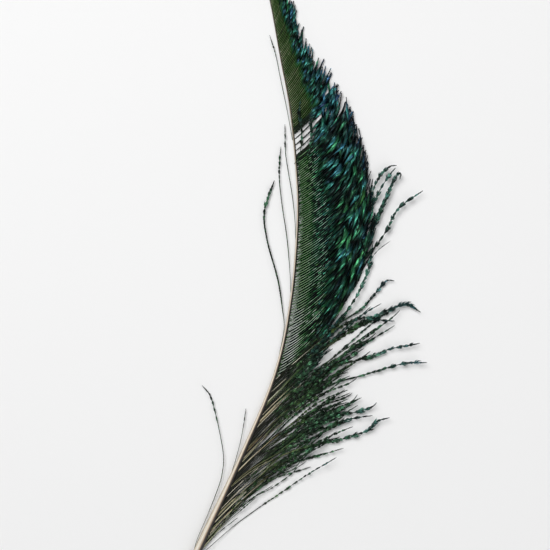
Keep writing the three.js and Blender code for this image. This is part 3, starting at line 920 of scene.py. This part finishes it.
def make_loose(settings):
    """The long barbs of the lower third, which no longer cling to each other, in three groups."""
    rng = np.random.default_rng(13)
    at = np.arange(*LOOSE_ROOTS, LOOSE_CROWDING * settings.barb_spacing / MM)
    at += rng.normal(0, 0.15, len(at))
    barbs = len(at)
    own = rng.normal(0, 1, (barbs, 1))
    sway = 3 * own * smooth(SHARE, 0, 0.3) + smooth(SHARE, 0.05, 0.6) * (
        2 * drift(rng, at, 6, 3) + 9 * drift(rng, at, 0.8, 5)
    )
    sway -= 40 * smooth(SHARE, 0.88, 1.05) * rng.uniform(-0.4, 1, (barbs, 1))
    long = rng.uniform(size=barbs) < 0.4 + 0.5 * smooth(at, 96, 108)
    kept = np.where(long, rng.uniform(0.85, 1.05, barbs), rng.uniform(0.66, 0.88, barbs))
    paths = trimmed(grow_barbs(at, kept, sway), LOOSE_OUTLINE, rng.uniform(-12, 1.5, barbs))
    ends = drawn(LOOSE_ENDS)
    roots = SHAFT_WAY[np.abs(SHAFT[None] - ends[:, :1]).sum(2).argmin(1)]
    # Neighbours lean together into tufts.
    tuft = np.cumsum(rng.uniform(size=barbs) < 0.3)
    centre = np.array([paths[tuft == t].mean(0) for t in tuft])
    pull = (0.3 * smooth(SHARE, 0.4, 0.9) * rng.uniform(0, 1, (barbs, 1)))[..., None]
    paths += (centre - paths) * pull
    paths = np.concatenate([paths, lifted(ends, 0.0)])
    plump = np.r_[rng.uniform(0.7, 1.05, barbs), np.full(len(ends), 1.6)]
    bluer = np.r_[0.12 + 0.18 * smooth(at, 98, 116), np.full(len(ends), 0.32)]
    at = np.r_[at, roots]
    order = np.argsort(at)
    at, paths, plump, bluer = (values[order] for values in (at, paths, plump, bluer))
    barbs = len(at)
    root = 1.1 * shaft_radius(at)[:, None]
    level = 1.3 + 1.1 * rng.uniform(-1, 1, (barbs, 1)) * smooth(SHARE, 0.1, 0.5)
    level = level + 0.5 * drift(rng, at, 3, 5)
    lift = rng.uniform(0, 3.0, (barbs, 1)) * SHARE**4
    paths[..., 2] = np.maximum(root + (level - root) * smooth(SHARE, 0, 0.3) + lift, 0.45)
    tone = 0.3 + bluer[:, None] * smooth(SHARE, 0.5, 0.95)
    tone = tone + 0.06 * drift(rng, at, 3, 5)
    bare = 1 - smooth(at, 46, 66)
    for group, part in enumerate(np.array_split(np.arange(barbs), 3)):
        strand = Strands(paths[part])
        rows = len(part)
        tan = rng.uniform(size=(rows, 1)) < 0.22
        # Ramus brightness: pale on the tan rami, partly their own colour and partly a painted
        # highlight, dark on the rest, fading out along each barb.
        pale = np.where(tan, 1.0, 0.12) * rng.uniform(0.6, 1.15, (rows, 1))
        pale = pale * (1 - 0.8 * smooth(SHARE, 0.25, 0.7))
        thick = 0.18 - 0.11 * smooth(SHARE, 0.05, 0.95)
        strand.add_rami(thick, rng.uniform(0.4, 1, (rows, 1)), pale, lift=0.05)
        full = (1 - 0.6 * bare[part]) * plump[part]
        add_beads(strand, rng, settings, rng.uniform(0.45, 0.7, rows), tone[part], 0.9, full)
        names = numbered("loose_barb", 30)[10 * group : 10 * group + 10]
        strand.build(f"loose_barbs_{group + 1}", loose_materials(), "loose_barbs", names)


def make_split(settings):
    """The barbs of the split: bare at first and crossing each other, then as full as the web's."""
    rng = np.random.default_rng(14)
    at, turn = np.array(SPLIT_BARBS, float).T
    barbs = len(at)
    sway = turn[:, None] * smooth(SHARE, 0.05, 0.5)
    sway = sway + 6 * drift(rng, at, 1.0, 4) * smooth(SHARE, 0.1, 0.6)
    kept = np.interp(at, (230, 240), (1.05, 1.25)) * rng.uniform(0.92, 1.05, barbs)
    paths = trimmed(grow_barbs(at, kept, sway), WEB_OUTLINE, rng.uniform(-2.5, 0.5, barbs))
    paths[..., 2] = 0.7 + 0.7 * smooth(SHARE, 0, 0.4) + 0.3 * drift(rng, at, 1, 3)
    strand = Strands(paths)
    strand.add_rami(0.15 - 0.09 * SHARE, 0.6 * (1 - SHARE), 0.22 - 0.18 * SHARE)
    outside = smooth(clearance(paths), 7.5, 11)
    roll, painted_light, tint = twist(strand, rng, outside, (19, 32))
    tone = 0.6 + 0.15 * SHARE + tint
    shade = 0.15 + 0.85 * outside * painted_light
    add_vane(strand, rng, settings, outside, roll, tone, shade, closed=0.3, flaked=1.6)
    strand.build("split_barbs", materials(), "loose_barbs", numbered("split_barb", 3))


def make_long(settings):
    """Long barbs that come out from under the web and hang past its edge, with full beads, and
    the strands that lie up the split."""
    rng = np.random.default_rng(15)
    flat = drawn(LONG_BARBS + SPLIT_STRANDS)
    out = smooth(-depth_inside(flat, WEB_OUTLINE), -1.5, 3)
    height = 0.35 + out * (1.3 + 1.5 * SHARE)
    height[-len(SPLIT_STRANDS) :] = STRAND_HEIGHT
    strand = Strands(lifted(flat, height))
    strand.add_rami(0.15 - 0.1 * SHARE, SHARE, 0.3 - 0.2 * SHARE)
    body, tone = np.full(len(flat), 0.3), 0.44 + 0.14 * SHARE
    add_beads(strand, rng, settings, body, tone, 0.8, LONG_FULLNESS, least=0.12)
    strand.build("long_barbs", loose_materials(), "loose_barbs", numbered("long_barb", 3))


def make_inner(settings):
    """The sparse barbs of the narrow inner side, which lie almost along the shaft."""
    rng = np.random.default_rng(16)
    flat = drawn(INNER_BARBS)
    strand = Strands(lifted(flat, 0.5 + 0.9 * np.sin(np.pi * SHARE) + 0.6 * SHARE))
    strand.add_rami(0.14 - 0.09 * SHARE, SHARE, 0.3 - 0.2 * SHARE)
    body, tone = np.full(len(flat), 0.8), 0.26 + 0.2 * SHARE
    add_beads(strand, rng, settings, body, tone, 0.5, INNER_FULLNESS)
    strand.build("inner_barbs", loose_materials(), "inner_barbs", numbered("inner_barb", 6))


# Stage --------------------

FLOOR_SIZE = 2.4  # metres
SENSOR = 36.0
VIEW_CENTRE = (-6.92 * MM, 8.12 * MM)
LAMP_PLACES = {"key": ((-0.5, 0.7, 1.3), 1.0), "fill": ((0.8, -0.6, 1.0), 1.4)}  # place, width
WALL_HEIGHTS = (0.14, 0.3)  # where the wall starts to give way to the sky, and where it ends


def make_stage(settings):
    """The pale floor, the camera straight above it and soft studio light."""
    scene = bpy.context.scene
    bpy.ops.mesh.primitive_plane_add(size=FLOOR_SIZE)
    floor = bpy.context.object
    floor.name = "floor"
    paper = new_material("floor_paper", Base_Color=(*settings.floor_colour, 1), Roughness=0.8)[0]
    floor.data.materials.append(paper)

    camera = bpy.data.cameras.new("camera")
    camera.sensor_width = SENSOR
    camera.lens = SENSOR * settings.camera_height / settings.view_width
    camera.clip_start = 0.01
    holder = bpy.data.objects.new("camera", camera)
    holder.location = (*VIEW_CENTRE, settings.camera_height)
    scene.collection.objects.link(holder)
    scene.camera = holder

    for name, (place, width) in LAMP_PLACES.items():
        light = bpy.data.lights.new(name, "AREA")
        light.size = width
        light.energy = getattr(settings, name + "_power")
        lamp = bpy.data.objects.new(name, light)
        lamp.location = place
        lamp.rotation_euler = (-lamp.location).to_track_quat("-Z", "Y").to_euler()
        scene.collection.objects.link(lamp)

    # The studio's pale wall fills the lowest degrees all round, and above it the sky is dim.
    world = bpy.data.worlds.new("studio")
    world.use_nodes = True
    tree = world.node_tree
    place = add_node(tree, "ShaderNodeTexCoord").outputs["Generated"]
    height = add_node(tree, "ShaderNodeSeparateXYZ", [("Vector", place)]).outputs["Z"]
    strength = add_node(
        tree, "ShaderNodeMapRange", [("Value", height)],
        From_Min=WALL_HEIGHTS[0], From_Max=WALL_HEIGHTS[1],
        To_Min=settings.wall_strength, To_Max=settings.sky_strength,
    ).outputs["Result"]
    background = tree.nodes["Background"]
    background.inputs["Color"].default_value = (1, 1, 1, 1)
    tree.links.new(strength, background.inputs["Strength"])
    scene.world = world
    scene.view_settings.view_transform = "Standard"


# Add-on --------------------


class FeatherShaftSettings(bpy.types.PropertyGroup):
    groove: FloatProperty(
        name="Groove", description="Depth of the groove under the shaft", default=1.0, min=0, max=2
    )


class FeatherVaneSettings(bpy.types.PropertyGroup):
    barb_spacing: FloatProperty(
        name="Barb spacing", description="Distance between the roots of neighbouring barbs",
        default=1.14 * MM, precision=5, unit="LENGTH",
    )
    barbule_spacing: FloatProperty(
        name="Barbule spacing", description="Distance between barbules on one side of a barb",
        default=0.22 * MM, precision=5, unit="LENGTH",
    )
    bead_spacing: FloatProperty(
        name="Bead spacing", description="Distance between the beads of a loose barb",
        default=2.6 * MM, precision=5, unit="LENGTH",
    )


class FeatherStageSettings(bpy.types.PropertyGroup):
    floor_colour: FloatVectorProperty(
        name="Floor", description="Colour of the floor", subtype="COLOR", size=3,
        default=colour("f2f2f2")[:3],
    )
    camera_height: FloatProperty(
        name="Camera height", description="Camera above the floor", default=0.6, unit="LENGTH"
    )
    view_width: FloatProperty(
        name="View width", description="Width of floor in view", default=0.2475, unit="LENGTH"
    )
    key_power: FloatProperty(name="Key", description="Power of the key light", default=20.6)
    fill_power: FloatProperty(name="Fill", description="Power of the fill light", default=7.8)
    wall_strength: FloatProperty(name="Wall", description="Light from the pale wall", default=0.85)
    sky_strength: FloatProperty(name="Sky", description="Light from above the wall", default=0.13)


class FEATHER_OT_shaft(bpy.types.Operator):
    """Makes the quill and rachis"""

    bl_idname = "feather.shaft"
    bl_label = "Shaft"

    def execute(self, context):
        make_shaft(context.scene.feather_shaft)
        return {"FINISHED"}


class FEATHER_OT_web(bpy.types.Operator):
    """Makes the closed wide side of the vane"""

    bl_idname = "feather.web"
    bl_label = "Web"

    def execute(self, context):
        make_web(context.scene.feather_vane)
        return {"FINISHED"}


class FEATHER_OT_tip(bpy.types.Operator):
    """Makes the narrow upper vane"""

    bl_idname = "feather.tip"
    bl_label = "Tip"

    def execute(self, context):
        make_tip(context.scene.feather_vane)
        return {"FINISHED"}


class FEATHER_OT_loose(bpy.types.Operator):
    """Makes the loose, split, long and inner barbs"""

    bl_idname = "feather.loose"
    bl_label = "Loose barbs"

    def execute(self, context):
        settings = context.scene.feather_vane
        for make in (make_loose, make_split, make_long, make_inner):
            make(settings)
        return {"FINISHED"}


class FEATHER_OT_stage(bpy.types.Operator):
    """Makes the floor, the camera and the lights"""

    bl_idname = "feather.stage"
    bl_label = "Stage"

    def execute(self, context):
        make_stage(context.scene.feather_stage)
        return {"FINISHED"}


OPERATORS = (FEATHER_OT_shaft, FEATHER_OT_web, FEATHER_OT_tip, FEATHER_OT_loose, FEATHER_OT_stage)


class FEATHER_PT_panel(bpy.types.Panel):
    """Lists the pieces of the feather"""

    bl_label = "Feather"
    bl_space_type = "VIEW_3D"
    bl_region_type = "UI"
    bl_category = "Feather"

    def draw(self, context):
        for group in ("feather_shaft", "feather_vane", "feather_stage"):
            settings = getattr(context.scene, group)
            for name in settings.__annotations__:
                self.layout.prop(settings, name)
        for operator in OPERATORS:
            self.layout.operator(operator.bl_idname)


SETTINGS = {
    "feather_shaft": FeatherShaftSettings,
    "feather_vane": FeatherVaneSettings,
    "feather_stage": FeatherStageSettings,
}


def register():
    for cls in (*SETTINGS.values(), *OPERATORS, FEATHER_PT_panel):
        bpy.utils.register_class(cls)
    for name, cls in SETTINGS.items():
        setattr(bpy.types.Scene, name, PointerProperty(type=cls))


def unregister():
    for name in SETTINGS:
        delattr(bpy.types.Scene, name)
    for cls in reversed((*SETTINGS.values(), *OPERATORS, FEATHER_PT_panel)):
        bpy.utils.unregister_class(cls)


def main():
    register()
    for operator in OPERATORS:
        group, name = operator.bl_idname.split(".")
        getattr(getattr(bpy.ops, group), name)()


if __name__ == "__main__":
    main()
